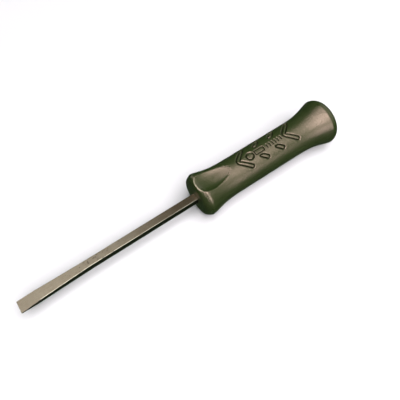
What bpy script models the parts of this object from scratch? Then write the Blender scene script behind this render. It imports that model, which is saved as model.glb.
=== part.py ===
"""A large flat-blade screwdriver with a square forged blade and a moulded two-layer handle.

Three pieces: the blade with its tang, the rigid core moulded round the tang, and the grip
moulded over the core. The tool lies along X, tip towards -X, thumb scoop up. Metres.
"""

import math

import bmesh
import bpy
from mathutils import Matrix, Vector

MM = 0.001
GAP = 0.3 * MM

# Lengths along the tool. "Depth" below means the distance behind the handle's front face.
BLADE_REACH = 144 * MM
HANDLE_LENGTH = 126 * MM
FRONT_X = BLADE_REACH - (BLADE_REACH + HANDLE_LENGTH) / 2

# The blade: square bar, spread and thinned at the tip, swaged into two wings on the tang.
BAR = 6 * MM
BAR_CHAMFER = 0.45 * MM
FLARE_LENGTH = 56 * MM
GROUND_LENGTH = 15 * MM
GROUND_THICKNESS = 3.95 * MM
TIP_WIDTH = 9.5 * MM
TIP_THICKNESS = 0.8 * MM
TANG_LENGTH = 92 * MM
WING_START = 56 * MM
WING_LENGTH = 14 * MM
WING_WIDTH = 9.6 * MM
WING_THICKNESS = 3.8 * MM

# The grip's outside.
FACE_RADIUS = 7.3 * MM
FRONT_RADIUS = 17.5 * MM
FRONT_ROUND = 5 * MM
FRONT_FULLNESS = 0.62
WAIST_RADIUS = 13.85 * MM
WAIST_START = 33 * MM
WAIST_END = 92 * MM
REAR_RADIUS = 18.7 * MM
REAR_CREST = 119.2 * MM
BUTT_DISC_RADIUS = 12.5 * MM

# The thumb scoop is the bite of an ellipsoid out of the top of the front flare.
SCOOP_HALF_AXES = (25 * MM, 12.3 * MM, 9.2 * MM)
SCOOP_DEPTH = 17 * MM
SCOOP_HEIGHT = 21.1 * MM

# The grip pattern: four chevrons in a row, each an island inside a half-round groove.
# The middle two lose their centres to a round mark and a plain row of bars.
CHEVRON_TIP = 35.9 * MM
CHEVRON_PITCH = 14.4 * MM
CHEVRON_COUNT = 4
CHEVRON_WIDTH = 5.3 * MM
CHEVRON_SPREAD = 10.3 * MM
PAD_INNER_EDGE = 4.0 * MM
NOSE_ROUND = 3.6 * MM
CORNER_ROUND = 0.7 * MM
GROOVE_RADIUS = 0.45 * MM
GROOVE_STEP = 2.5 * MM
MARK_CENTRE = 49.6 * MM
MARK_RADIUS = 3.5 * MM
BAND_START = 54.2 * MM
BAND_END = 62.2 * MM
BAND_HALF_HEIGHT = 1.8 * MM
DASH_START = 65.5 * MM
DASH_PITCH = 2.6 * MM
DASH_COUNT = 6
DASH_HALF_LENGTH = 1.4 * MM

# The core.
CORE_FRONT = 2.2 * MM
CORE_NOSE_RADIUS = 8.6 * MM
CORE_RADIUS = 9.6 * MM
CORE_STEP = 34 * MM
CORE_FLARE_START = 96 * MM
CORE_REAR_RADIUS = 13.2 * MM
CORE_FLARE_END = 112 * MM
CORE_END = 121.5 * MM
RIB_RISE = 1.2 * MM
RIB_WIDTH = 2.6 * MM
RIB_COUNT = 4

TURNED_STEPS = 56
AXIS_Z = REAR_RADIUS


def clear_scene():
    for item in list(bpy.data.objects):
        bpy.data.objects.remove(item)


def make_collection(name):
    collection = bpy.data.collections.new(name)
    bpy.context.scene.collection.children.link(collection)
    return collection


def make_material(name, colour, roughness, metallic):
    material = bpy.data.materials.new(name)
    material.use_nodes = True
    shader = material.node_tree.nodes["Principled BSDF"]
    shader.inputs["Base Color"].default_value = (*colour, 1)
    shader.inputs["Roughness"].default_value = roughness
    shader.inputs["Metallic"].default_value = metallic
    return material


def put_on_axis(item):
    """Local +Z becomes the tool's +X, with local z = 0 at the handle's front face."""
    item.rotation_euler = (0, math.pi / 2, 0)
    item.location = (FRONT_X, 0, AXIS_Z)


def bezier(start, start_pull, end_pull, end, pieces):
    """Points along a cubic curve after its first one."""
    points = []
    for step in range(1, pieces + 1):
        t = step / pieces
        weights = ((1 - t) ** 3, 3 * t * (1 - t) ** 2, 3 * t * t * (1 - t), t ** 3)
        ends = (start, start_pull, end_pull, end)
        points.append(tuple(sum(w * p[axis] for w, p in zip(weights, ends)) for axis in (0, 1)))
    return points


def grip_profile():
    """(depth, radius) from the middle of the front face to the middle of the butt."""
    points = [(0, 0), (0, FACE_RADIUS)]
    for step in range(1, 7):
        turn = math.pi / 2 * step / 6
        inward = max(math.cos(turn), 0) ** FRONT_FULLNESS
        outward = math.sin(turn) ** FRONT_FULLNESS
        points.append((FRONT_ROUND * (1 - inward),
                       FACE_RADIUS + (FRONT_RADIUS - FACE_RADIUS) * outward))
    flare_start = (FRONT_ROUND + 0.8 * MM, FRONT_RADIUS)
    points.append(flare_start)
    points += bezier(flare_start, (11.5 * MM, FRONT_RADIUS), (15.5 * MM, WAIST_RADIUS),
                     (WAIST_START, WAIST_RADIUS), 7)
    rear_start = (WAIST_END, WAIST_RADIUS)
    points += [((WAIST_START + WAIST_END) / 2, WAIST_RADIUS), rear_start]
    points += bezier(rear_start, (105.5 * MM, WAIST_RADIUS), (110.5 * MM, 16.37 * MM),
                     (REAR_CREST, REAR_RADIUS), 7)
    for step in range(1, 7):
        turn = math.pi / 2 * step / 6
        points.append((REAR_CREST + (HANDLE_LENGTH - REAR_CREST) * math.sin(turn),
                       BUTT_DISC_RADIUS + (REAR_RADIUS - BUTT_DISC_RADIUS) * math.cos(turn)))
    return points + [(HANDLE_LENGTH, 0)]


def core_profile(grow):
    """(depth, radius) of the core, every surface moved out by grow."""
    nose = CORE_NOSE_RADIUS + grow
    waist = CORE_RADIUS + grow
    rear = CORE_REAR_RADIUS + grow
    return [
        (CORE_FRONT - grow, 0),
        (CORE_FRONT - grow, nose - 1 * MM),
        (CORE_FRONT - grow + 1 * MM, nose),
        (CORE_STEP - grow, nose),
        (CORE_STEP - grow + 1 * MM, waist),
        (CORE_FLARE_START, waist),
        (CORE_FLARE_END, rear),
        (CORE_END + grow - 1.5 * MM, rear),
        (CORE_END + grow, rear - 1.5 * MM),
        (CORE_END + grow, 0),
    ]


def turned(name, profile, collection):
    """A Screw modifier turns the profile round the tool's axis."""
    mesh = bpy.data.meshes.new(name)
    downward = [(radius, 0, depth) for depth, radius in reversed(profile)]
    links = [(index, index + 1) for index in range(len(downward) - 1)]
    mesh.from_pydata(downward, links, [])
    item = bpy.data.objects.new(name, mesh)
    collection.objects.link(item)
    put_on_axis(item)
    screw = item.modifiers.new("turn", "SCREW")
    screw.axis = "Z"
    screw.steps = TURNED_STEPS
    screw.render_steps = TURNED_STEPS
    screw.use_merge_vertices = True
    screw.merge_threshold = 0.00001
    screw.use_smooth_shade = True
    return item


def radius_at(depth):
    """The grip's outer radius at a depth."""
    profile = grip_profile()
    for (near, near_radius), (far, far_radius) in zip(profile, profile[1:]):
        if near <= depth <= far and far > near:
            return near_radius + (far_radius - near_radius) * (depth - near) / (far - near)
    return WAIST_RADIUS


def on_grip(depth, around):
    """The point on the grip at a depth and an arc length from the top line, in world space."""
    radius = radius_at(depth)
    angle = around / WAIST_RADIUS
    return Vector((FRONT_X + depth, -radius * math.sin(angle), AXIS_Z + radius * math.cos(angle)))


def lofted_bar(name, stations, chamfer, collection):
    """A rectangular bar through (depth, width, thickness) stations, long edges chamfered."""
    mesh = bmesh.new()
    bmesh.ops.create_grid(mesh, x_segments=1, y_segments=1, size=0.5)
    corners = list(mesh.verts)
    signs = [(math.copysign(0.5, corner.co.x), math.copysign(0.5, corner.co.y)) for corner in corners]
    end = mesh.faces[:]
    for number, (depth, width, thickness) in enumerate(stations):
        if number:
            grown = bmesh.ops.extrude_face_region(mesh, geom=end)["geom"]
            if number > 1:
                bmesh.ops.delete(mesh, geom=end, context="FACES_ONLY")
            end = [part for part in grown if isinstance(part, bmesh.types.BMFace)]
            corners = list(end[0].verts)
            signs = [(math.copysign(0.5, c.co.y), math.copysign(0.5, c.co.z - AXIS_Z)) for c in corners]
        for corner, (side, rise) in zip(corners, signs):
            corner.co = (FRONT_X + depth, side * width, AXIS_Z + rise * thickness)
    bmesh.ops.recalc_face_normals(mesh, faces=mesh.faces[:])
    if chamfer:
        ground_end = FRONT_X - BLADE_REACH + GROUND_LENGTH
        long_edges = [edge for edge in mesh.edges
                      if abs(edge.verts[0].co.x - edge.verts[1].co.x) > 1 * MM
                      and min(vert.co.x for vert in edge.verts) > ground_end - 0.1 * MM]
        bmesh.ops.bevel(mesh, geom=long_edges, offset=chamfer, segments=1, profile=0.5, affect="EDGES")
    data = bpy.data.meshes.new(name)
    mesh.to_mesh(data)
    mesh.free()
    item = bpy.data.objects.new(name, data)
    collection.objects.link(item)
    return item


def tang_stations(grow):
    """The tang inside the handle: bar, wings, bar, and a short point."""
    bar = BAR + 2 * grow
    wide = WING_WIDTH + 2 * grow
    thin = WING_THICKNESS + 2 * grow
    wing_end = WING_START + WING_LENGTH
    return [
        (WING_START, bar, bar),
        (WING_START + 3 * MM, wide, thin),
        (wing_end - 3 * MM, wide, thin),
        (wing_end, bar, bar),
        (TANG_LENGTH - 3 * MM + grow, bar, bar),
        (TANG_LENGTH + grow, bar - 2.5 * MM, bar - 2.5 * MM),
    ]


def make_blade(collection):
    grind_width = TIP_WIDTH - (TIP_WIDTH - BAR) * GROUND_LENGTH / FLARE_LENGTH
    stations = [
        (-BLADE_REACH, TIP_WIDTH, TIP_THICKNESS),
        (-BLADE_REACH + GROUND_LENGTH, grind_width, GROUND_THICKNESS),
        (-BLADE_REACH + FLARE_LENGTH, BAR, BAR),
    ]
    blade = lofted_bar("blade", stations + tang_stations(0), BAR_CHAMFER, collection)
    blade.data.materials.append(make_material("forged_steel", (0.22, 0.19, 0.15), 0.35, 1))
    return blade


def cut(item, cutter):
    boolean = item.modifiers.new(cutter.name, "BOOLEAN")
    boolean.operation = "DIFFERENCE"
    boolean.object = cutter


def join(item, other):
    boolean = item.modifiers.new(other.name, "BOOLEAN")
    boolean.operation = "UNION"
    boolean.object = other


def core_rib(name, number, grow, cutters):
    """One lengthwise rib, a box that runs from inside the core to its rise above the waist."""
    mesh = bmesh.new()
    bmesh.ops.create_cube(mesh, size=1)
    length = CORE_FLARE_START - CORE_STEP + 2 * grow
    height = CORE_RADIUS + RIB_RISE + grow
    size = Matrix.Diagonal((length, RIB_WIDTH + 2 * grow, height - CORE_RADIUS / 2, 1))
    bmesh.ops.transform(mesh, matrix=size, verts=mesh.verts)
    lift = Matrix.Translation(((CORE_FLARE_START + CORE_STEP) / 2, 0, (height + CORE_RADIUS / 2) / 2))
    turn = Matrix.Rotation(math.tau * (number + 0.5) / RIB_COUNT, 4, "X")
    place = Matrix.Translation((FRONT_X, 0, AXIS_Z))
    bmesh.ops.transform(mesh, matrix=place @ turn @ lift, verts=mesh.verts)
    data = bpy.data.meshes.new(name)
    mesh.to_mesh(data)
    mesh.free()
    item = bpy.data.objects.new(name, data)
    cutters.objects.link(item)
    return item


def core_solid(name, grow, collection, cutters):
    core = turned(name, core_profile(grow), collection)
    for number in range(RIB_COUNT):
        join(core, core_rib(f"{name}_rib_{number + 1}", number, grow, cutters))
    return core


def make_core(collection, cutters):
    core = core_solid("handle_core", 0, collection, cutters)
    socket = [(-1 * MM, BAR + 2 * GAP, BAR + 2 * GAP)] + tang_stations(GAP)
    cut(core, lofted_bar("tang_socket", socket, 0, cutters))
    core.data.materials.append(make_material("core_polypropylene", (0.03, 0.035, 0.025), 0.45, 0))
    return core


def rounded_outline(corners, per_corner=3):
    """The (depth, around) outline through corners (depth, around, rounding radius)."""
    points = []
    for index, (depth, around, radius) in enumerate(corners):
        here = Vector((depth, around))
        before = Vector(corners[index - 1][:2]) - here
        after = Vector(corners[(index + 1) % len(corners)][:2]) - here
        half = before.angle(after) / 2
        start = here + before.normalized() * radius / math.tan(half)
        end = here + after.normalized() * radius / math.tan(half)
        centre = here + (before.normalized() + after.normalized()).normalized() * radius / math.sin(half)
        for step in range(per_corner + 1):
            mix = start.lerp(end, step / per_corner) - centre
            points.append(centre + mix.normalized() * radius)
    return points


def chevron_outline(tip):
    """The middle line of the groove round one whole chevron."""
    inset = GROOVE_RADIUS * math.sqrt(2)
    outer = tip + inset
    inner = tip + CHEVRON_WIDTH - inset
    reach = CHEVRON_SPREAD - GROOVE_RADIUS
    return rounded_outline([
        (outer, 0, NOSE_ROUND),
        (outer + reach, reach, CORNER_ROUND),
        (inner + reach, reach, 2 * CORNER_ROUND),
        (inner, 0, CORNER_ROUND),
        (inner + reach, -reach, 2 * CORNER_ROUND),
        (outer + reach, -reach, CORNER_ROUND),
    ])


def pad_outline(tip, side):
    """The middle line of the groove round one arm of a chevron that has lost its centre."""
    inset = GROOVE_RADIUS * math.sqrt(2)
    outer = tip + inset
    inner = tip + CHEVRON_WIDTH - inset
    near = PAD_INNER_EDGE + GROOVE_RADIUS
    reach = CHEVRON_SPREAD - GROOVE_RADIUS
    return rounded_outline([
        (outer + near, side * near, CORNER_ROUND),
        (outer + reach, side * reach, CORNER_ROUND),
        (inner + reach, side * reach, 2 * CORNER_ROUND),
        (inner + near, side * near, 2 * CORNER_ROUND),
    ])


def mark_outline():
    radius = MARK_RADIUS - GROOVE_RADIUS
    turns = [math.tau * step / 24 for step in range(24)]
    return [Vector((MARK_CENTRE + radius * math.cos(t), radius * math.sin(t))) for t in turns]


def band_outline():
    return rounded_outline([
        (BAND_START, BAND_HALF_HEIGHT, CORNER_ROUND),
        (BAND_END, BAND_HALF_HEIGHT, CORNER_ROUND),
        (BAND_END, -BAND_HALF_HEIGHT, CORNER_ROUND),
        (BAND_START, -BAND_HALF_HEIGHT, CORNER_ROUND),
    ], 3)


def with_short_steps(outline, closed):
    """The outline with points added along its straight runs, so it can bend round the grip."""
    points = []
    for index, here in enumerate(outline):
        points.append(here)
        if index + 1 == len(outline) and not closed:
            break
        following = outline[(index + 1) % len(outline)]
        steps = math.ceil((following - here).length / GROOVE_STEP)
        points += [here.lerp(following, step / steps) for step in range(1, steps)]
    return points


def groove_lines():
    """(outline, closed) for every groove of the grip pattern."""
    lines = []
    for number in range(CHEVRON_COUNT):
        tip = CHEVRON_TIP + number * CHEVRON_PITCH
        if number in (0, CHEVRON_COUNT - 1):
            lines.append((chevron_outline(tip), True))
        else:
            lines += [(pad_outline(tip, side), True) for side in (1, -1)]
    lines += [(mark_outline(), True), (band_outline(), True)]
    for number in range(DASH_COUNT):
        depth = DASH_START + number * DASH_PITCH
        ends = [Vector((depth, DASH_HALF_LENGTH)), Vector((depth, -DASH_HALF_LENGTH))]
        lines.append((ends, False))
    return [(with_short_steps(outline, closed), closed) for outline, closed in lines]


def make_grooves(cutters):
    """One mesh of tubes that lie on the grip's surface, so each cuts a half-round groove."""
    curve = bpy.data.curves.new("grip_grooves", "CURVE")
    curve.dimensions = "3D"
    curve.bevel_depth = GROOVE_RADIUS
    curve.bevel_resolution = 1
    curve.use_fill_caps = True
    for outline, closed in groove_lines():
        spline = curve.splines.new("POLY")
        spline.points.add(len(outline) - 1)
        for point, (depth, around) in zip(spline.points, outline):
            point.co = (*on_grip(depth, around), 1)
        spline.use_cyclic_u = closed
    guide = bpy.data.objects.new("groove_guide", curve)
    cutters.objects.link(guide)
    bpy.context.view_layer.update()
    evaluated = guide.evaluated_get(bpy.context.evaluated_depsgraph_get())
    data = bpy.data.meshes.new_from_object(evaluated)
    item = bpy.data.objects.new("grip_grooves", data)
    item.matrix_world = guide.matrix_world
    cutters.objects.link(item)
    bpy.data.objects.remove(guide)
    mesh = bmesh.new()
    mesh.from_mesh(data)
    bmesh.ops.remove_doubles(mesh, verts=mesh.verts, dist=0.00001)
    bmesh.ops.recalc_face_normals(mesh, faces=mesh.faces[:])
    mesh.to_mesh(data)
    mesh.free()
    return item


def make_scoop(cutters):
    mesh = bmesh.new()
    bmesh.ops.create_uvsphere(mesh, u_segments=40, v_segments=28, radius=1)
    size = Matrix.Diagonal((*SCOOP_HALF_AXES, 1))
    place = Matrix.Translation((FRONT_X + SCOOP_DEPTH, 0, AXIS_Z + SCOOP_HEIGHT))
    bmesh.ops.transform(mesh, matrix=place @ size, verts=mesh.verts)
    data = bpy.data.meshes.new("thumb_scoop")
    mesh.to_mesh(data)
    mesh.free()
    item = bpy.data.objects.new("thumb_scoop", data)
    cutters.objects.link(item)
    return item


def make_grip(collection, cutters):
    grip = turned("grip_sleeve", grip_profile(), collection)
    hole = BAR + 2 * GAP
    passage = [(-2 * MM, hole, hole), (CORE_FRONT + 1 * MM, hole, hole)]
    cut(grip, core_solid("core_space", GAP, cutters, cutters))
    cut(grip, lofted_bar("shank_passage", passage, 0, cutters))
    cut(grip, make_scoop(cutters))
    cut(grip, make_grooves(cutters))
    grip.data.materials.append(make_material("olive_elastomer", (0.075, 0.07, 0.035), 0.5, 0))
    return grip


def main():
    clear_scene()
    parts = make_collection("flat_blade_screwdriver")
    cutters = make_collection("cutters")
    make_blade(parts)
    make_core(parts, cutters)
    make_grip(parts, cutters)
    for cutter in cutters.objects:
        cutter.hide_render = True
        cutter.display_type = "WIRE"


main()
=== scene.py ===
# %% [markdown]
# # A heavy flat-blade screwdriver
# The real tool is three things: a square steel forging with a flat tip, a stiff plastic core
# moulded round its tang, and a thick olive grip moulded over the core. Nothing on it moves.
# This lesson dresses the finished solid model. The blade and the grip are modelled again with
# finer surfaces, and every finish is made of shader nodes. All lengths are in metres.

# %% Load the solid model
import math

import bpy
import numpy as np
from mathutils import Matrix, Vector


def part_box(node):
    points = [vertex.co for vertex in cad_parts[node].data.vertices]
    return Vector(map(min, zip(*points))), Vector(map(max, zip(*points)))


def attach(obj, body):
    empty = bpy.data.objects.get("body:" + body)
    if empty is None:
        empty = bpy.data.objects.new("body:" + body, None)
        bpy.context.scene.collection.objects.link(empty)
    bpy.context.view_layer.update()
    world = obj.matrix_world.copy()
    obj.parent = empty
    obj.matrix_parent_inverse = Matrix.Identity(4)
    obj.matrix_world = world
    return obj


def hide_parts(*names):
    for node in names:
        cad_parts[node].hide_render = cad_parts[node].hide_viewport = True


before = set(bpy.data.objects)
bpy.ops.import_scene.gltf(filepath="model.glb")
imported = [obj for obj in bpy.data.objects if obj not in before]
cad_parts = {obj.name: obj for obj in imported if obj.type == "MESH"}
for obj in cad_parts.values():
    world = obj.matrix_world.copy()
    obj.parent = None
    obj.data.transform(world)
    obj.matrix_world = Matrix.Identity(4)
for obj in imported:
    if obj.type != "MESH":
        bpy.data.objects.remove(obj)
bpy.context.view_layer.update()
MM = 0.001
print("nodes:", sorted(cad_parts))

# %% [markdown]
# ## Where things are
# The grip's box gives the two numbers that everything else is measured from: where the handle's
# front face is, and how high the tool's axis runs. A "depth" is a distance behind the front face.

# %% Measure the frame
grip_low, grip_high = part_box("grip_sleeve")
blade_low, blade_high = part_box("blade")
FRONT_X = grip_low.x
AXIS_Z = (grip_low.z + grip_high.z) / 2
HANDLE_LENGTH = grip_high.x - grip_low.x
REACH = FRONT_X - blade_low.x
REAR_RADIUS = (grip_high.z - grip_low.z) / 2
print(f"handle {HANDLE_LENGTH / MM:.1f} mm, blade reaches {REACH / MM:.1f} mm")
print(f"axis {AXIS_Z / MM:.2f} mm above the table")

# %% [markdown]
# ## Camera
# The view is from above the handle's front, turned towards the tip, from about a forearm away.
# That is close for a tool this long, so the tip looks smaller than the butt, and the lens has
# to be a slightly long one. The whole camera is swung a few degrees about the tool's own axis.

# %% Place the camera
AZIMUTH = math.radians(-34.3)
ELEVATION = math.radians(66.0)
SWING = math.radians(5.5)
DISTANCE = 337 * MM
LENS = 40.5
SHIFT_RIGHT = 3.25 * MM
SHIFT_DOWN = 1.34 * MM

back = Vector((math.sin(AZIMUTH) * math.cos(ELEVATION), -math.cos(AZIMUTH) * math.cos(ELEVATION),
               math.sin(ELEVATION)))
right = Vector((0, 0, 1)).cross(back).normalized()
up = back.cross(right)
swing = Matrix.Rotation(SWING, 3, "X")
aim = Vector((FRONT_X, 0, AXIS_Z))
camera_data = bpy.data.cameras.new("camera")
camera_data.lens = LENS
camera_data.sensor_width = 36
camera = bpy.data.objects.new("camera", camera_data)
bpy.context.scene.collection.objects.link(camera)
offset = back * DISTANCE + right * SHIFT_RIGHT - up * SHIFT_DOWN
turned = Matrix((right, up, back)).transposed()
camera.matrix_world = Matrix.Translation(aim + swing @ offset) @ (swing @ turned).to_4x4()
bpy.context.scene.camera = camera
bpy.context.scene.view_settings.view_transform = "Standard"
print("camera at", [round(value, 3) for value in camera.location])

# %% [markdown]
# ## Floor and light
# The tool lies on its two flares. The rear one is thicker, so the floor is tipped by the small
# angle that lets it touch both. Satin steel and rubber are mostly seen by what they mirror, so the
# lights are split as in a product studio. One overhead panel lights surfaces only, and the rest
# are only mirrored. The key lies along the handle, "far" is what the shank's flat top mirrors, and
# "broad" is wide and dim and spreads the key's sheen. A low one by the viewer's side gives the rear
# flare its second streak, and one low behind the butt fills the slopes that face it. The floor is
# kept out of the mirrors, as a black flag does, so the sides stay dark against it. The world is a
# dim green fill for the shadows, which the camera itself sees as a pale backdrop.

# %% Make the floor, the lights and the world
FRONT_RING_DEPTH = 5.4 * MM
FRONT_RING_RADIUS = 17.5 * MM
REAR_RING_DEPTH = 119.2 * MM
FLOOR_SIZE = 4.0
PANEL_DISTANCE = 2.0


def add_material(name):
    material = bpy.data.materials.new(name)
    material.use_nodes = True
    return material, material.node_tree.nodes["Principled BSDF"]


def add_panel(name, direction, width, height, brightness, lights="reflections"):
    """A soft panel, far enough off to look the same from tip and butt; brightness is radiance."""
    light = bpy.data.lights.new(name, "AREA")
    light.shape = "RECTANGLE"
    light.size = width
    light.size_y = height
    light.energy = brightness * math.pi * width * height
    panel = bpy.data.objects.new(name, light)
    bpy.context.scene.collection.objects.link(panel)
    towards = Vector(direction).normalized()
    lengthways = Vector((0, 1, 0)).cross(towards).normalized()
    panel.location = aim + towards * PANEL_DISTANCE
    facing = Matrix((lengthways, towards.cross(lengthways), towards)).transposed()
    panel.rotation_euler = facing.to_euler()
    panel.visible_diffuse = lights == "surfaces"
    panel.visible_glossy = lights == "reflections"


ring_gap = REAR_RADIUS - FRONT_RING_RADIUS
tip_angle = math.atan(ring_gap / (REAR_RING_DEPTH - FRONT_RING_DEPTH))
bpy.ops.mesh.primitive_plane_add(size=FLOOR_SIZE, location=(FRONT_X + REAR_RING_DEPTH, 0, 0))
floor = bpy.context.object
floor.name = "floor"
floor.rotation_euler = (0, tip_angle, 0)
floor_material, floor_shader = add_material("pale_floor")
floor_shader.inputs["Base Color"].default_value = (0.76, 0.73, 0.77, 1)
floor_shader.inputs["Roughness"].default_value = 0.9
floor_shader.inputs["Specular IOR Level"].default_value = 0.1
floor.data.materials.append(floor_material)
floor.visible_glossy = False

add_panel("overhead", (0.10, -0.36, 0.93), 2.2, 2.2, 5.8, "surfaces")
add_panel("key", (-0.20, -0.38, 0.91), 1.2, 1.5, 11.0)
add_panel("far", (-0.28, 0.30, 0.91), 1.4, 1.0, 7.0)
add_panel("broad", (0.36, -0.24, 0.90), 1.1, 2.3, 2.7)
add_panel("near_low", (0.02, -0.94, 0.32), 1.4, 0.9, 6.0)
add_panel("behind", (0.93, -0.05, 0.34), 0.7, 3.0, 1.3)

world = bpy.data.worlds.new("studio")
world.use_nodes = True
sky = world.node_tree
dim = sky.nodes["Background"]
dim.inputs["Color"].default_value = (0.55, 1, 0.45, 1)
dim.inputs["Strength"].default_value = 0.07
pale = sky.nodes.new("ShaderNodeBackground")
pale.inputs["Color"].default_value = (1, 1, 1, 1)
seen = sky.nodes.new("ShaderNodeLightPath")
choose = sky.nodes.new("ShaderNodeMixShader")
sky.links.new(seen.outputs["Is Camera Ray"], choose.inputs["Fac"])
sky.links.new(dim.outputs["Background"], choose.inputs[1])
sky.links.new(pale.outputs["Background"], choose.inputs[2])
sky.links.new(choose.outputs["Shader"], sky.nodes["World Output"].inputs["Surface"])
bpy.context.scene.world = world
print("floor tipped by", round(math.degrees(tip_angle), 2), "degrees")

# %% [markdown]
# ## Working by hand in code
# Every operator below acts on what is selected, so these helpers do what a hand does first:
# leave edit mode, drop the selection, pick faces or edges by where they are.

# %% Helpers for selecting and shaping
def fresh_start():
    if bpy.context.object and bpy.context.object.mode != "OBJECT":
        bpy.ops.object.mode_set(mode="OBJECT")
    bpy.ops.object.select_all(action="DESELECT")


def pick(item):
    fresh_start()
    item.select_set(True)
    bpy.context.view_layer.objects.active = item


def select_where(kind, test):
    """In edit mode, selects the active mesh's "polygons" or "edges" that pass the test."""
    bpy.ops.mesh.select_mode(type={"polygons": "FACE", "edges": "EDGE"}[kind])
    bpy.ops.mesh.select_all(action="DESELECT")
    bpy.ops.object.mode_set(mode="OBJECT")
    mesh = bpy.context.object.data
    chosen = 0
    for part in getattr(mesh, kind):
        part.select = test(mesh, part)
        chosen += part.select
    bpy.ops.object.mode_set(mode="EDIT")
    return chosen


def apply_modifiers(item):
    pick(item)
    for modifier in list(item.modifiers):
        bpy.ops.object.modifier_apply(modifier=modifier.name)


def settle(item):
    """Moves the object's place, turn and size into its mesh."""
    pick(item)
    bpy.ops.object.transform_apply(location=True, rotation=True, scale=True)


# %% [markdown]
# ## The blade
# A smith would start from square bar, spread and thin one end, and pinch two wings into the
# other, which the moulding grips. So the model starts as a box for the bar, and both ends are
# extruded from it, station by station, and resized at each. The spread starts gently, as
# hammered steel does, and the last stretch is ground to a wedge with a crisp line across.

# %% Start from the square bar
BAR = 6 * MM
SPREAD_START = 88 * MM
GROUND_START = 129 * MM
GROUND_THICKNESS = 3.95 * MM
TIP_WIDTH = 9.5 * MM
TIP_THICKNESS = 0.8 * MM
WING_START = 56 * MM

fresh_start()
bar_start = FRONT_X - SPREAD_START
bar_end = FRONT_X + WING_START
bpy.ops.mesh.primitive_cube_add(size=1, location=((bar_start + bar_end) / 2, 0, AXIS_Z),
                                scale=(bar_end - bar_start, BAR, BAR))
blade = bpy.context.object
blade.name = "blade_forging"
settle(blade)
bpy.ops.object.mode_set(mode="EDIT")
print("bar", round((bar_end - bar_start) / MM), "mm")


# %% Extrude both ends
SPREAD_STATIONS = 9
SOFT_START = 0.08
WING_PINCHED = 59 * MM
WING_WIDTH = blade_high.y - blade_low.y
WING_THICKNESS = 3.8 * MM
WING_OPENS = 67 * MM
WING_END = 70 * MM
TANG_END = blade_high.x
TANG_TAPER = 3 * MM
TANG_TIP = BAR - 2.5 * MM


def grow_end(side, stations):
    """Extrudes the end face on one side of X through (x, width, thickness) stations."""
    select_where("polygons", lambda mesh, face: face.normal.x * side > 0.9)
    x, width, thickness = (bar_start if side < 0 else bar_end), BAR, BAR
    for next_x, next_width, next_thickness in stations:
        bpy.ops.mesh.extrude_region_move(TRANSFORM_OT_translate={"value": (next_x - x, 0, 0)})
        bpy.ops.transform.resize(value=(1, next_width / width, next_thickness / thickness),
                                 center_override=(next_x, 0, AXIS_Z))
        x, width, thickness = next_x, next_width, next_thickness


def spread(part):
    """How far the width has grown, 0 to 1, along the spread: a soft start, then straight."""
    return (1 + SOFT_START) * part * part / (part + SOFT_START)


def blade_station(reach):
    """Where the forging is, how wide and how thick, at a distance in front of the handle."""
    part = (reach - SPREAD_START) / (REACH - SPREAD_START)
    thinning = spread(min(1, (reach - SPREAD_START) / (GROUND_START - SPREAD_START)))
    return (FRONT_X - reach, BAR + (TIP_WIDTH - BAR) * spread(part),
            BAR + (GROUND_THICKNESS - BAR) * thinning)


forged = [blade_station(SPREAD_START + (GROUND_START - SPREAD_START) * step / SPREAD_STATIONS)
          for step in range(1, SPREAD_STATIONS + 1)]
grow_end(-1, forged + [(FRONT_X - REACH, TIP_WIDTH, TIP_THICKNESS)])
grow_end(1, [(FRONT_X + WING_PINCHED, WING_WIDTH, WING_THICKNESS),
             (FRONT_X + WING_OPENS, WING_WIDTH, WING_THICKNESS), (FRONT_X + WING_END, BAR, BAR),
             (TANG_END - TANG_TAPER, BAR, BAR), (TANG_END, TANG_TIP, TANG_TIP)])
print("stations along the spread:", [round(width / MM, 2) for _, width, _ in forged])


# %% [markdown]
# Rolled bar has narrow flats along its corners, and they are the brightest lines on the tool.
# Bevelling the four long edges makes them; the grinding has cut them away on the last stretch.
# A hair of bevel on the ground line and the tip stops those edges from being mathematically sharp.

# %% Bevel the long corners and the ground edges
CORNER_FLAT = 0.27 * MM
GROUND_LINE_BEVEL = 0.15 * MM
TIP_BEVEL = 0.08 * MM
BLADE_SMOOTHING = math.radians(4)
CLOSE = 0.1 * MM
ground_x = FRONT_X - GROUND_START


def ends_of(mesh, edge):
    return (mesh.vertices[index].co for index in edge.vertices)


def is_long_corner(mesh, edge):
    a, b = ends_of(mesh, edge)
    return abs(a.x - b.x) > 1 * MM and min(a.x, b.x) > ground_x - CLOSE


def is_ground_line(mesh, edge):
    a, b = ends_of(mesh, edge)
    return abs(a.x - ground_x) < CLOSE and abs(b.x - ground_x) < CLOSE and abs(a.z - b.z) < CLOSE


def is_tip_edge(mesh, edge):
    a, b = ends_of(mesh, edge)
    return max(a.x, b.x) < FRONT_X - REACH + CLOSE


corners = select_where("edges", is_long_corner)
bpy.ops.mesh.bevel(offset=CORNER_FLAT, segments=2, profile=0.6, affect="EDGES")
ground = select_where("edges", is_ground_line)
bpy.ops.mesh.bevel(offset=GROUND_LINE_BEVEL, segments=2, affect="EDGES")
select_where("edges", is_tip_edge)
bpy.ops.mesh.bevel(offset=TIP_BEVEL, segments=2, affect="EDGES")
bpy.ops.mesh.select_all(action="SELECT")
bpy.ops.mesh.normals_make_consistent(inside=False)
fresh_start()
pick(blade)
bpy.ops.object.shade_smooth_by_angle(angle=BLADE_SMOOTHING)
print("bevelled", corners, "corner edges and", ground, "ground edges")
print("blade:", len(blade.data.polygons), "faces")

# %% [markdown]
# Steel shines first where hands and drawers rub it. The faces of the corner flats are marked
# with an attribute, so the finish can tell them from the broad faces. A corner flat leans both
# ways, and a broad face only one.

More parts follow.
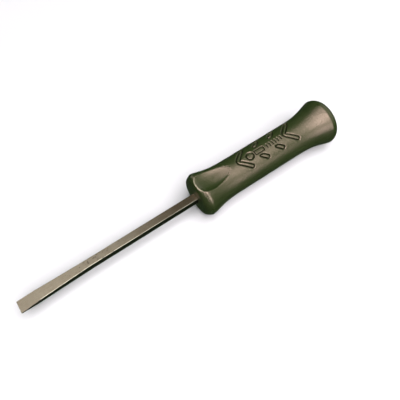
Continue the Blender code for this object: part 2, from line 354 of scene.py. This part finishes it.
# %% Mark the worn corners
LEAST_LEAN = 0.15
END_FACE = 0.3
worn = blade.data.attributes.new("worn_corner", "FLOAT", "FACE")
for face in blade.data.polygons:
    lean = min(abs(face.normal.y), abs(face.normal.z))
    is_flat = lean > LEAST_LEAN and abs(face.normal.x) < END_FACE
    worn.data[face.index].value = 1.0 if is_flat else 0.0
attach(blade, "root")
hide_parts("blade")
print("worn faces:", sum(item.value > 0.5 for item in worn.data))

# %% [markdown]
# ## The grip's outline
# The moulding is a turned shape: a domed front with a tight shoulder, a flare, a straight waist
# and a bigger flare that ends in a crest and a rounded butt. The dome is a power curve, which is
# flat in the middle and full near its rim, the butt is an arc, and each flare is one cubic curve,
# whose two inner points pull it as a drawing program's handles do. The rings are set close where
# the pattern will be pressed in and wider elsewhere.

# %% Describe the outline
FACE_RADIUS = 7.3 * MM
FRONT_ROUND = 4.7 * MM
FRONT_SHOULDER = 17.2 * MM
FRONT_FULLNESS = 0.18
WAIST_RADIUS = 13.85 * MM
WAIST_START = 33 * MM
WAIST_END = 92 * MM
BUTT_DISC_RADIUS = 12.5 * MM
BUTT_FLAT_RADIUS = 8 * MM
PATTERN_START = 34 * MM
PATTERN_END = 94 * MM
PATTERN_RING_STEP = 0.2 * MM


def cubic(start, start_pull, end_pull, end, count):
    t = np.linspace(0, 1, count)[:, None]
    ends = [np.array(point) for point in (start, start_pull, end_pull, end)]
    return ((1 - t) ** 3 * ends[0] + 3 * t * (1 - t) ** 2 * ends[1]
            + 3 * t * t * (1 - t) * ends[2] + t ** 3 * ends[3])


def quarter(start, end, count):
    """A quarter turn from an end face out to a ring."""
    turn = np.linspace(0, math.pi / 2, count)
    return np.column_stack([end[0] + (start[0] - end[0]) * np.abs(np.cos(turn)),
                            start[1] + (end[1] - start[1]) * np.sin(turn)])


def grip_outline():
    """(depth, radius) points from the middle of the front face to the middle of the butt."""
    part = np.linspace(0, 1, 34) ** 2.2
    front = np.column_stack([FRONT_ROUND * part,
                             FACE_RADIUS + (FRONT_SHOULDER - FACE_RADIUS) * part ** FRONT_FULLNESS])
    shoulder = cubic(front[-1], (5.3 * MM, FRONT_RING_RADIUS), (5.6 * MM, FRONT_RING_RADIUS),
                     (6.5 * MM, 17.4 * MM), 8)
    front_flare = cubic(shoulder[-1], (11.2 * MM, 16.8 * MM), (15.5 * MM, WAIST_RADIUS),
                        (WAIST_START, WAIST_RADIUS), 64)
    depths = np.arange(PATTERN_START, WAIST_END, PATTERN_RING_STEP)
    waist = np.column_stack([depths, np.full(len(depths), WAIST_RADIUS)])
    rear_flare = cubic((WAIST_END, WAIST_RADIUS), (105.5 * MM, WAIST_RADIUS),
                       (110.5 * MM, 16.37 * MM), (REAR_RING_DEPTH, REAR_RADIUS), 76)
    butt = quarter((HANDLE_LENGTH, BUTT_DISC_RADIUS), (REAR_RING_DEPTH, REAR_RADIUS), 18)[::-1]
    return np.vstack([[(0, 0), (0, 5 * MM)], front, shoulder[1:], front_flare[1:],
                      waist, rear_flare, butt[1:],
                      [(HANDLE_LENGTH, BUTT_FLAT_RADIUS), (HANDLE_LENGTH, 0)]])


outline = grip_outline()
print(len(outline), "rings")

# %% [markdown]
# ## Turning the grip
# One point is extruded along the outline, then spun about the tool's axis. It is spun twice, in
# small steps across the top, where the pattern needs them, and in bigger ones round the rest.

# %% Spin the outline
FINE_ARC = math.radians(104)
FINE_STEPS = 116
COARSE_STEPS = 60


def draw_outline(name, points, angle):
    """A chain of edges through (depth, radius) points, in the half plane at an angle from the top."""
    across, rise = -math.sin(angle), math.cos(angle)
    places = [Vector((FRONT_X + depth, radius * across, AXIS_Z + radius * rise))
              for depth, radius in points]
    fresh_start()
    bpy.ops.mesh.primitive_plane_add(size=1 * MM, location=places[0])
    item = bpy.context.object
    item.name = name
    settle(item)
    bpy.ops.object.mode_set(mode="EDIT")
    bpy.ops.mesh.select_mode(type="VERT")
    bpy.ops.mesh.select_all(action="SELECT")
    bpy.ops.mesh.merge(type="CENTER")
    for here, following in zip(places, places[1:]):
        bpy.ops.mesh.extrude_region_move(TRANSFORM_OT_translate={"value": following - here})
    bpy.ops.mesh.select_all(action="SELECT")
    return item


def spin_up(arcs):
    """Spins the selected chain through (angle, steps) arcs and closes the shape."""
    for angle, steps in arcs:
        bpy.ops.mesh.spin(steps=steps, angle=angle, center=(0, 0, AXIS_Z), axis=(1, 0, 0))
    bpy.ops.mesh.select_all(action="SELECT")
    bpy.ops.mesh.remove_doubles(threshold=0.01 * MM)
    bpy.ops.mesh.normals_make_consistent(inside=False)
    fresh_start()


grip = draw_outline("grip", outline, FINE_ARC / 2)
spin_up([(FINE_ARC, FINE_STEPS), (math.tau - FINE_ARC, COARSE_STEPS)])
print("grip:", len(grip.data.polygons), "faces")

# %% [markdown]
# ## Pressing the thumb scoop
# The scoop could be a Boolean, but a shallow cut across a curved skin leaves slivers along its
# edge, which shade badly and can't be rounded evenly. So the skin is pressed instead. The ram is
# an egg, flat across its belly, which breaks out through the dome, so the scoop's front edge
# comes out straight. Each point of the skin that it reaches gets a weight, how far the ram pushes
# it down, blended near the edge so the crest comes out soft. A Displace modifier presses.

# %% Weigh the skin under the ram
RAM_FRONT_REACH = 18 * MM
RAM_REAR_REACH = 21.4 * MM
RAM_HALF_WIDTH = 11.5 * MM
RAM_HALF_HEIGHT = 9.2 * MM
RAM_DEPTH = 17 * MM
RAM_HEIGHT = 20.8 * MM
CREST_BLEND = 0.9 * MM
CREST_WIDTH = 0.6 * MM
FRONT_EDGE_BLEND = 1.5 * MM
FRONT_EDGE_DEPTH = 6 * MM
UPPER_SKIN = 5 * MM
DEEPEST_PRESS = 5 * MM
LEAST_WEIGHT = 0.0005


def skin_points(item):
    """Depth, sideways place towards the viewer's side, and height above the axis, per vertex."""
    co = np.empty(len(item.data.vertices) * 3)
    item.data.vertices.foreach_get("co", co)
    co = co.reshape(-1, 3)
    return co[:, 0] - FRONT_X, -co[:, 1], co[:, 2] - AXIS_Z


def ram_height(depth, side):
    """The height of the ram's underside, and infinity beside it."""
    behind = depth - RAM_DEPTH
    reach = np.where(behind < 0, RAM_FRONT_REACH, RAM_REAR_REACH)
    inside = 1 - (behind / reach) ** 2 - np.abs(side / RAM_HALF_WIDTH) ** 3
    return np.where(inside > 0, RAM_HEIGHT - RAM_HALF_HEIGHT * np.sqrt(np.maximum(inside, 0)), np.inf)


def soft_lower(a, b, blend):
    """The lower of two heights, rounded where they meet."""
    nearness = np.maximum(blend - np.abs(a - b), 0) / blend
    return np.minimum(a, b) - nearness ** 2 * blend / 4


def press(item, name, weights, direction, distance):
    """A Displace modifier that moves the skin by its weight times a distance, then is applied."""
    group = item.vertex_groups.new(name=name)
    for index in np.nonzero(weights > LEAST_WEIGHT)[0]:
        group.add([int(index)], float(weights[index]), "REPLACE")
    modifier = item.modifiers.new(name, "DISPLACE")
    modifier.vertex_group = name
    modifier.direction = direction
    modifier.strength = distance
    modifier.mid_level = 0
    apply_modifiers(item)
    return int((weights > LEAST_WEIGHT).sum())


depth, side, height = skin_points(grip)
ram = ram_height(depth, side)
reached = (height > UPPER_SKIN) & np.isfinite(ram)
pushed = np.zeros(len(depth))
blend = np.where(depth[reached] < FRONT_EDGE_DEPTH, FRONT_EDGE_BLEND, CREST_BLEND)
pushed[reached] = height[reached] - soft_lower(height[reached], ram[reached], blend)
crest = np.zeros(len(depth))
crest[reached] = np.exp(-((height[reached] - ram[reached]) / CREST_WIDTH) ** 2)
moved = press(grip, "scoop", pushed / DEEPEST_PRESS, "Z", -DEEPEST_PRESS)
print("scoop pressed", moved, "points, up to", round(float(pushed.max()) / MM, 2), "mm")

# %% [markdown]
# ## Pressing the grip pattern
# Four chevrons point at the blade. Each is an island inside a narrow moat. The middle two give
# up their centres to a round mark and a plain row of bars, which leaves a pad on each side. The
# marks sit a little to the near side of the middle line.
# All of it is drawn flat, as outlines in depth and distance round the handle. A skin point's
# distance to the nearest outline gives its weight, and a second Displace presses the moats in.

# %% Draw the outlines
CHEVRON_TIP = 35.9 * MM
CHEVRON_PITCH = 14.4 * MM
CHEVRON_COUNT = 4
CHEVRON_WIDTH = 5.3 * MM
CHEVRON_SPREAD = 10.3 * MM
CHEVRON_NOSE = 3.6 * MM
PAD_INNER_EDGE = 4.0 * MM
MOAT = 0.45 * MM
CORNER = 0.7 * MM
MARK_OFFSET = 0.7 * MM
MARK_CENTRE = 49.6 * MM
MARK_RADIUS = 3.05 * MM
BAND_START = 54.2 * MM
BAND_END = 62.2 * MM
BAND_HALF_HEIGHT = 1.8 * MM
BAR_START = 65.5 * MM
BAR_PITCH = 2.6 * MM
BAR_COUNT = 6
BAR_HALF_LENGTH = 1.4 * MM


def rounded(corners, per_corner=6):
    """A closed outline through corners (depth, around, rounding radius)."""
    points = []
    for index, (at, around, radius) in enumerate(corners):
        here = Vector((at, around))
        before = (Vector(corners[index - 1][:2]) - here).normalized()
        after = (Vector(corners[(index + 1) % len(corners)][:2]) - here).normalized()
        half = before.angle(after) / 2
        start, end = (here + way * radius / math.tan(half) for way in (before, after))
        centre = here + (before + after).normalized() * radius / math.sin(half)
        for step in range(per_corner + 1):
            points.append(centre + (start.lerp(end, step / per_corner) - centre).normalized() * radius)
    return points + points[:1]


def chevron(tip):
    """A V whose arms lie at 45 degrees, drawn along the middle of its moat."""
    outer = tip + MOAT * math.sqrt(2)
    inner = tip + CHEVRON_WIDTH - MOAT * math.sqrt(2)
    reach = CHEVRON_SPREAD - MOAT
    return rounded([(outer, 0, CHEVRON_NOSE), (outer + reach, reach, CORNER),
                    (inner + reach, reach, 2 * CORNER), (inner, 0, CORNER),
                    (inner + reach, -reach, 2 * CORNER), (outer + reach, -reach, CORNER)])


def pad(tip, way):
    """What is left of one arm of a chevron, on the side that way (1 or -1) gives."""
    outer = tip + MOAT * math.sqrt(2)
    inner = tip + CHEVRON_WIDTH - MOAT * math.sqrt(2)
    near, reach = PAD_INNER_EDGE + MOAT, CHEVRON_SPREAD - MOAT
    return rounded([(outer + near, way * near, CORNER), (outer + reach, way * reach, CORNER),
                    (inner + reach, way * reach, 2 * CORNER), (inner + near, way * near, 2 * CORNER)])


def ring(centre, radius):
    turns = np.linspace(0, math.tau, 33)
    return [Vector((centre + radius * math.cos(turn), MARK_OFFSET + radius * math.sin(turn)))
            for turn in turns]


def bar_across(place):
    return [Vector((place, MARK_OFFSET + BAR_HALF_LENGTH)),
            Vector((place, MARK_OFFSET - BAR_HALF_LENGTH))]


tips = [CHEVRON_TIP + number * CHEVRON_PITCH for number in range(CHEVRON_COUNT)]
moats = [chevron(tips[0]), chevron(tips[-1])]
moats += [pad(tip, way) for tip in tips[1:-1] for way in (1, -1)]
moats.append(ring(MARK_CENTRE, MARK_RADIUS))
band_near, band_far = MARK_OFFSET + BAND_HALF_HEIGHT, MARK_OFFSET - BAND_HALF_HEIGHT
band = [(BAND_START, band_near, CORNER), (BAND_END, band_near, CORNER),
        (BAND_END, band_far, CORNER), (BAND_START, band_far, CORNER)]
fine_lines = [rounded(band)] + [bar_across(BAR_START + number * BAR_PITCH) for number in range(BAR_COUNT)]
print(len(moats), "moats and", len(fine_lines), "finer lines")


# %% Press them in
MOAT_DEPTH = 1.05 * MM
MOAT_HALF_WIDTH = 1.1 * MM
LINE_HALF_WIDTH = 0.8 * MM
LINE_SHARE = 0.8
# How wide the painted shade along the middle of each moat spreads.
MOAT_SHADE_WIDTH = 0.34 * MM


def distance_to(lines, at, around):
    """Each point's distance to the nearest of the lines, all in the unrolled pattern."""
    nearest = np.full(len(at), np.inf)
    for line in lines:
        for a, b in zip(line, line[1:]):
            along = b - a
            length = max(along.length_squared, 1e-12)
            part = np.clip(((at - a.x) * along.x + (around - a.y) * along.y) / length, 0, 1)
            gap = np.hypot(at - a.x - part * along.x, around - a.y - part * along.y)
            nearest = np.minimum(nearest, gap)
    return nearest


def groove(distance, half):
    """1 along the middle of a groove, rising in a curve that eases over a wide lip."""
    return np.clip(1 - distance / half, 0, 1) ** 1.8


depth, side, height = skin_points(grip)
near = (depth > PATTERN_START) & (depth < PATTERN_END) & (height > 0)
at = depth[near]
around = np.arctan2(side[near], height[near]) * WAIST_RADIUS
to_moat = distance_to(moats, at, around)
to_line = distance_to(fine_lines, at, around)
moat_weight = np.zeros(len(depth))
moat_weight[near] = np.maximum(groove(to_moat, MOAT_HALF_WIDTH),
                               LINE_SHARE * groove(to_line, LINE_HALF_WIDTH))
# Painted shade: a dark line along the middle of each moat and finer line, where shade falls.
moat_shade_line = np.zeros(len(depth))
moat_shade_line[near] = np.exp(-(np.minimum(to_moat, to_line + 0.05 * MM) / MOAT_SHADE_WIDTH) ** 2)
moved = press(grip, "moats", moat_weight, "NORMAL", -MOAT_DEPTH)
print("moats pressed", moved, "points")

# %% [markdown]
# The pattern's weights have a second use. Kept as attributes, they tell the finish where to paint
# shade, in the moats, and where palms polish the moulding, on the crests and the two rings.
# A third marks where a pale highlight is painted: the scoop's front edge, the sharpest on the tool,
# and the shoulder on both sides of it.

# %% Keep the weights for the finish
# Painted highlights, pale spots on the shoulder where the light shines.
SHOULDER_HIGHLIGHTS = (  # depth, degrees round from the top, how wide in degrees, how strong
    (5.6 * MM, 42, 14, 0.25),
    (4.2 * MM, -32, 10, 0.4),
)
ring_polish = (np.exp(-((depth - 4 * MM) / (2.2 * MM)) ** 2)
               + np.exp(-((depth - REAR_RING_DEPTH) / (1.8 * MM)) ** 2))
rubbed = np.clip(crest + 0.6 * ring_polish, 0, 1)
turned = np.degrees(np.arctan2(side, height))
# Painted highlight: a pale colour along the scoop's front edge, where the light catches it.
painted_highlight = 0.75 * crest * np.clip((4.4 * MM - depth) / (1.6 * MM), 0, 1)
for at_depth, at_turn, wide, amount in SHOULDER_HIGHLIGHTS:
    painted_highlight += (amount * np.exp(-((depth - at_depth) / (0.7 * MM)) ** 2)
                * np.exp(-((turned - at_turn) / wide) ** 2))
for name, values in (("painted_moat_shade", moat_shade_line), ("rubbed", rubbed), ("painted_highlight", painted_highlight)):
    attribute = grip.data.attributes.new(name, "FLOAT", "POINT")
    attribute.data.foreach_set("value", values.astype(np.float32))
print("rubbed points:", int((rubbed > 0.5).sum()))

# %% [markdown]
# ## Hollowing the grip
# Inside, the grip fits the core, and a square passage lets the shank through its front. Both
# cuts are clean and mostly hidden, so here Booleans are the right tool. The room for the core is
# turned as the grip was, a hair bigger than the core.

# %% Cut the core's room and the shank's passage
CLEARANCE = 0.3 * MM
NOSE_ROOM = 8.9 * MM
BODY_ROOM = 11.4 * MM
PASSAGE = BAR + 0.3 * MM
GRIP_SMOOTHING = math.radians(50)
core_low, core_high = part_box("handle_core")
core_front = core_low.x - FRONT_X - CLEARANCE
core_end = core_high.x - FRONT_X + CLEARANCE
core_rear_radius = (core_high.z - core_low.z) / 2 + CLEARANCE
core_room = [(core_front, 0), (core_front, NOSE_ROOM), (33.5 * MM, NOSE_ROOM), (34 * MM, BODY_ROOM),
             (98 * MM, BODY_ROOM), (112 * MM, core_rear_radius), (core_end, core_rear_radius),
             (core_end, 0)]
room = draw_outline("core_room", core_room, 0)
spin_up([(math.tau, 64)])
fresh_start()
bpy.ops.mesh.primitive_cube_add(size=1, location=(FRONT_X + core_front / 2, 0, AXIS_Z),
                                scale=(core_front + 4 * MM, PASSAGE, PASSAGE))
passage = bpy.context.object
settle(passage)
for cutter in (room, passage):
    boolean = grip.modifiers.new(cutter.name, "BOOLEAN")
    boolean.operation = "DIFFERENCE"
    boolean.object = cutter
apply_modifiers(grip)
for cutter in (room, passage):
    bpy.data.objects.remove(cutter)
pick(grip)
bpy.ops.object.shade_smooth_by_angle(angle=GRIP_SMOOTHING)
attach(grip, "root")
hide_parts("grip_sleeve")
triangles = sum(len(face.vertices) - 2 for face in grip.data.polygons)
print("grip:", triangles, "triangles")

# %% [markdown]
# ## Shared effects
# Two effects are used by more than one finish, so each is a node group with named sockets.
# "Fine grain" is the pebbling of a moulded or blasted surface. "Patches" is slow variation,
# such as handling and age, that keeps a big surface from being one flat value.

# %% Build the node groups
def new_group(name, inputs, outputs):
    group = bpy.data.node_groups.new(name, "ShaderNodeTree")
    for label, kind, value in inputs:
        socket = group.interface.new_socket(label, in_out="INPUT", socket_type=kind)
        if value is not None:
            socket.default_value = value
    for label, kind in outputs:
        group.interface.new_socket(label, in_out="OUTPUT", socket_type=kind)
    return group, group.nodes.new("NodeGroupInput"), group.nodes.new("NodeGroupOutput")


def math_node(tree, operation, first, second, clamp=False):
    node = tree.nodes.new("ShaderNodeMath")
    node.operation = operation
    node.use_clamp = clamp
    for socket, value in zip(node.inputs, (first, second)):
        if isinstance(value, (int, float)):
            socket.default_value = value
        else:
            tree.links.new(value, socket)
    return node.outputs[0]


def noise(tree, vector, scale, detail=2.0, roughness=0.5):
    node = tree.nodes.new("ShaderNodeTexNoise")
    tree.links.new(vector, node.inputs["Vector"])
    if isinstance(scale, (int, float)):
        node.inputs["Scale"].default_value = scale
    else:
        tree.links.new(scale, node.inputs["Scale"])
    node.inputs["Detail"].default_value = detail
    node.inputs["Roughness"].default_value = roughness
    return node.outputs["Fac"]


def remap(tree, value, low, high, to_low=0.0, to_high=1.0):
    node = tree.nodes.new("ShaderNodeMapRange")
    tree.links.new(value, node.inputs["Value"])
    limits = {"From Min": low, "From Max": high, "To Min": to_low, "To Max": to_high}
    for label, number in limits.items():
        node.inputs[label].default_value = number
    return node.outputs["Result"]


def build_grain():
    """Height of a fine pebbled surface: rounded cells with softer noise between them."""
    group, start, end = new_group("fine_grain", [("Vector", "NodeSocketVector", None),
                                                 ("Grains per metre", "NodeSocketFloat", 2500.0)],
                                  [("Height", "NodeSocketFloat")])
    cells = group.nodes.new("ShaderNodeTexVoronoi")
    cells.feature = "SMOOTH_F1"
    cells.inputs["Smoothness"].default_value = 0.6
    group.links.new(start.outputs["Vector"], cells.inputs["Vector"])
    group.links.new(start.outputs["Grains per metre"], cells.inputs["Scale"])
    soft = noise(group, start.outputs["Vector"], start.outputs["Grains per metre"], 3.0, 0.6)
    mixed = math_node(group, "ADD", math_node(group, "MULTIPLY", cells.outputs["Distance"], -0.6),
                      math_node(group, "MULTIPLY", soft, 0.7))
    group.links.new(mixed, end.inputs["Height"])
    return group


def build_patches():
    """A slow mask, 0 to 1, from noise of several sizes."""
    group, start, end = new_group("patches", [("Vector", "NodeSocketVector", None),
                                              ("Patches per metre", "NodeSocketFloat", 60.0)],
                                  [("Mask", "NodeSocketFloat")])
    broad = noise(group, start.outputs["Vector"], start.outputs["Patches per metre"], 4.0, 0.6)
    group.links.new(remap(group, broad, 0.3, 0.7), end.inputs["Mask"])
    return group


fine_grain = build_grain()
patches = build_patches()
print("groups:", [group.name for group in (fine_grain, patches)])


# %% Helpers for building a finish
def use_group(tree, group, vector, **values):
    node = tree.nodes.new("ShaderNodeGroup")
    node.node_tree = group
    tree.links.new(vector, node.inputs["Vector"])
    for label, value in values.items():
        node.inputs[label.replace("_", " ")].default_value = value
    return node.outputs[0]


def object_coordinates(tree, stretch=(1, 1, 1)):
    coordinates = tree.nodes.new("ShaderNodeTexCoord")
    mapping = tree.nodes.new("ShaderNodeMapping")
    mapping.inputs["Scale"].default_value = stretch
    tree.links.new(coordinates.outputs["Object"], mapping.inputs["Vector"])
    return mapping.outputs["Vector"]


def attribute_value(tree, name):
    node = tree.nodes.new("ShaderNodeAttribute")
    node.attribute_name = name
    return node.outputs["Fac"]


def mix_colours(tree, factor, first, second):
    node = tree.nodes.new("ShaderNodeMix")
    node.data_type = "RGBA"
    tree.links.new(factor, node.inputs["Factor"])
    for socket, value in ((node.inputs[6], first), (node.inputs[7], second)):
        if isinstance(value, tuple):
            socket.default_value = (*value, 1)
        else:
            tree.links.new(value, socket)
    return node.outputs[2]


def bump(tree, shader, layers):
    """Chains Bump nodes, one for each (height, distance, strength), into the shader's normal."""
    normal = None
    for height_value, distance, strength in layers:
        node = tree.nodes.new("ShaderNodeBump")
        node.inputs["Distance"].default_value = distance
        node.inputs["Strength"].default_value = strength
        tree.links.new(height_value, node.inputs["Height"])
        if normal:
            tree.links.new(normal, node.inputs["Normal"])
        normal = node.outputs["Normal"]
    tree.links.new(normal, shader.inputs["Normal"])


# %% [markdown]
# ## The grip's finish
# The grip is a firm elastomer, dark olive, moulded against a finely blasted tool. It is dark in
# itself, and most of what is seen on it is the broad warm sheen of the light. The grain breaks
# that sheen up, and palms have polished the crests. A pale highlight is painted on the scoop's
# front edge and the shoulder, and painted shade darkens the moats, which are made metallic too
# so they mirror the dark.

# %% Make the olive elastomer
olive, olive_shader = add_material("olive_elastomer")
tree = olive.node_tree
place = object_coordinates(tree)
age = use_group(tree, patches, place, Patches_per_metre=90)
flecks = use_group(tree, patches, place, Patches_per_metre=650)
rub = attribute_value(tree, "rubbed")
# Painted shade in the moats: a darker colour, rougher and metallic, so they stay dark.
moat_shade = attribute_value(tree, "painted_moat_shade")
colour = mix_colours(tree, age, (0.010, 0.024, 0.002), (0.015, 0.030, 0.004))
colour = mix_colours(tree, math_node(tree, "MULTIPLY", flecks, 0.35), colour, (0.034, 0.042, 0.018))
# Painted highlight: a pale colour on the scoop's front edge and the shoulder.
colour = mix_colours(tree, attribute_value(tree, "painted_highlight"), colour, (0.42, 0.36, 0.27))
colour = mix_colours(tree, math_node(tree, "MULTIPLY", moat_shade, 0.9), colour, (0.004, 0.004, 0.002))
tree.links.new(colour, olive_shader.inputs["Base Color"])
dull = remap(tree, age, 0, 1, 0.30, 0.35)
dull = math_node(tree, "SUBTRACT", dull, math_node(tree, "MULTIPLY", rub, 0.08))
dull = math_node(tree, "ADD", dull, math_node(tree, "MULTIPLY", moat_shade, 0.2), clamp=True)
tree.links.new(dull, olive_shader.inputs["Roughness"])
tree.links.new(math_node(tree, "MULTIPLY", moat_shade, 0.95), olive_shader.inputs["Metallic"])
olive_shader.inputs["Specular IOR Level"].default_value = 1.0
olive_shader.inputs["Specular Tint"].default_value = (1.0, 0.68, 0.60, 1)
grain = use_group(tree, fine_grain, place, Grains_per_metre=1300)
waves = noise(tree, place, 160.0, 2.0)
coarse = noise(tree, place, 700.0, 3.0, 0.6)
bump(tree, olive_shader, [(waves, 0.6 * MM, 0.12), (coarse, 0.5 * MM, 0.45), (grain, 0.2 * MM, 0.4)])
grip.data.materials.clear()
grip.data.materials.append(olive)
print("olive finish has", len(tree.nodes), "nodes")

# %% [markdown]
# ## The blade's finish
# The forging keeps a dark heat-treated skin. It was drawn and rubbed lengthways, so its fine
# scratches run along the tool, and it has small pits along its middle where scale came off. Near
# the handle it has painted shade, darker where the dark grip is mirrored, and the corner flats
# have worn through to bright steel.

# %% Make the forged steel
steel, steel_shader = add_material("dark_forged_steel")
tree = steel.node_tree
place = object_coordinates(tree)
lengthways = object_coordinates(tree, (0.03, 1, 1))
handling = use_group(tree, patches, place, Patches_per_metre=120)
scratches = noise(tree, lengthways, 5200.0, 3.0, 0.7)
pits = tree.nodes.new("ShaderNodeTexVoronoi")
pits.inputs["Scale"].default_value = 640.0
tree.links.new(place, pits.inputs["Vector"])
pit_mask = remap(tree, pits.outputs["Distance"], 0.16, 0.34, 1.0, 0.0)
split = tree.nodes.new("ShaderNodeSeparateXYZ")
tree.links.new(place, split.inputs["Vector"])
along = split.outputs["X"]
pitted = math_node(tree, "MULTIPLY", remap(tree, along, -105 * MM, -90 * MM),
                   remap(tree, along, -48 * MM, -62 * MM))
pitted = math_node(tree, "MULTIPLY", pitted, remap(tree, noise(tree, place, 300.0), 0.44, 0.52))
pit_mask = math_node(tree, "MULTIPLY", pit_mask, pitted)
corner_wear = math_node(tree, "MULTIPLY", attribute_value(tree, "worn_corner"),
                        remap(tree, noise(tree, place, 260.0, 3.0), 0.3, 0.5, 0.35, 1.0), clamp=True)
# Painted shade: the steel is darker towards the handle, where the dark grip is mirrored in it.
handle_shade = remap(tree, along, -55 * MM, FRONT_X)
colour = mix_colours(tree, handling, (0.064, 0.053, 0.038), (0.084, 0.071, 0.053))
colour = mix_colours(tree, handle_shade, colour, (0.056, 0.042, 0.026))
colour = mix_colours(tree, remap(tree, scratches, 0.55, 0.8, 0.0, 0.5), colour, (0.24, 0.215, 0.18))
colour = mix_colours(tree, corner_wear, colour, (0.24, 0.22, 0.18))
colour = mix_colours(tree, math_node(tree, "MULTIPLY", pit_mask, 0.9), colour, (0.02, 0.016, 0.012))
tree.links.new(colour, steel_shader.inputs["Base Color"])
steel_shader.inputs["Metallic"].default_value = 1.0
satin = remap(tree, handling, 0, 1, 0.28, 0.34)
satin = math_node(tree, "ADD", satin, math_node(tree, "MULTIPLY", pit_mask, 0.3), clamp=True)
tree.links.new(satin, steel_shader.inputs["Roughness"])
unpitted = math_node(tree, "SUBTRACT", 1.0, pit_mask)
bump(tree, steel_shader, [(scratches, 0.03 * MM, 0.5), (unpitted, 0.08 * MM, 0.6)])
blade.data.materials.clear()
blade.data.materials.append(steel)
print("steel finish has", len(tree.nodes), "nodes")

# %% [markdown]
# ## The core's finish
# The core is hidden inside the grip, but it is part of the tool, so it gets the plain dark
# look of a stiff plastic moulding with the same grain, coarser and flatter.

# %% Dress the core
core_plastic, core_shader = add_material("core_polypropylene")
tree = core_plastic.node_tree
place = object_coordinates(tree)
shade = use_group(tree, patches, place, Patches_per_metre=70)
tree.links.new(mix_colours(tree, shade, (0.020, 0.024, 0.016), (0.034, 0.038, 0.026)),
               core_shader.inputs["Base Color"])
tree.links.new(remap(tree, shade, 0, 1, 0.42, 0.52), core_shader.inputs["Roughness"])
core_grain = use_group(tree, fine_grain, place, Grains_per_metre=1400)
bump(tree, core_shader, [(core_grain, 0.1 * MM, 0.5)])
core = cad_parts["handle_core"]
core.data.materials.clear()
core.data.materials.append(core_plastic)
print("core dressed")

# %% [markdown]
# ## Finish
# At the end the script leaves edit mode and drops the selection.

# %% Finish
fresh_start()
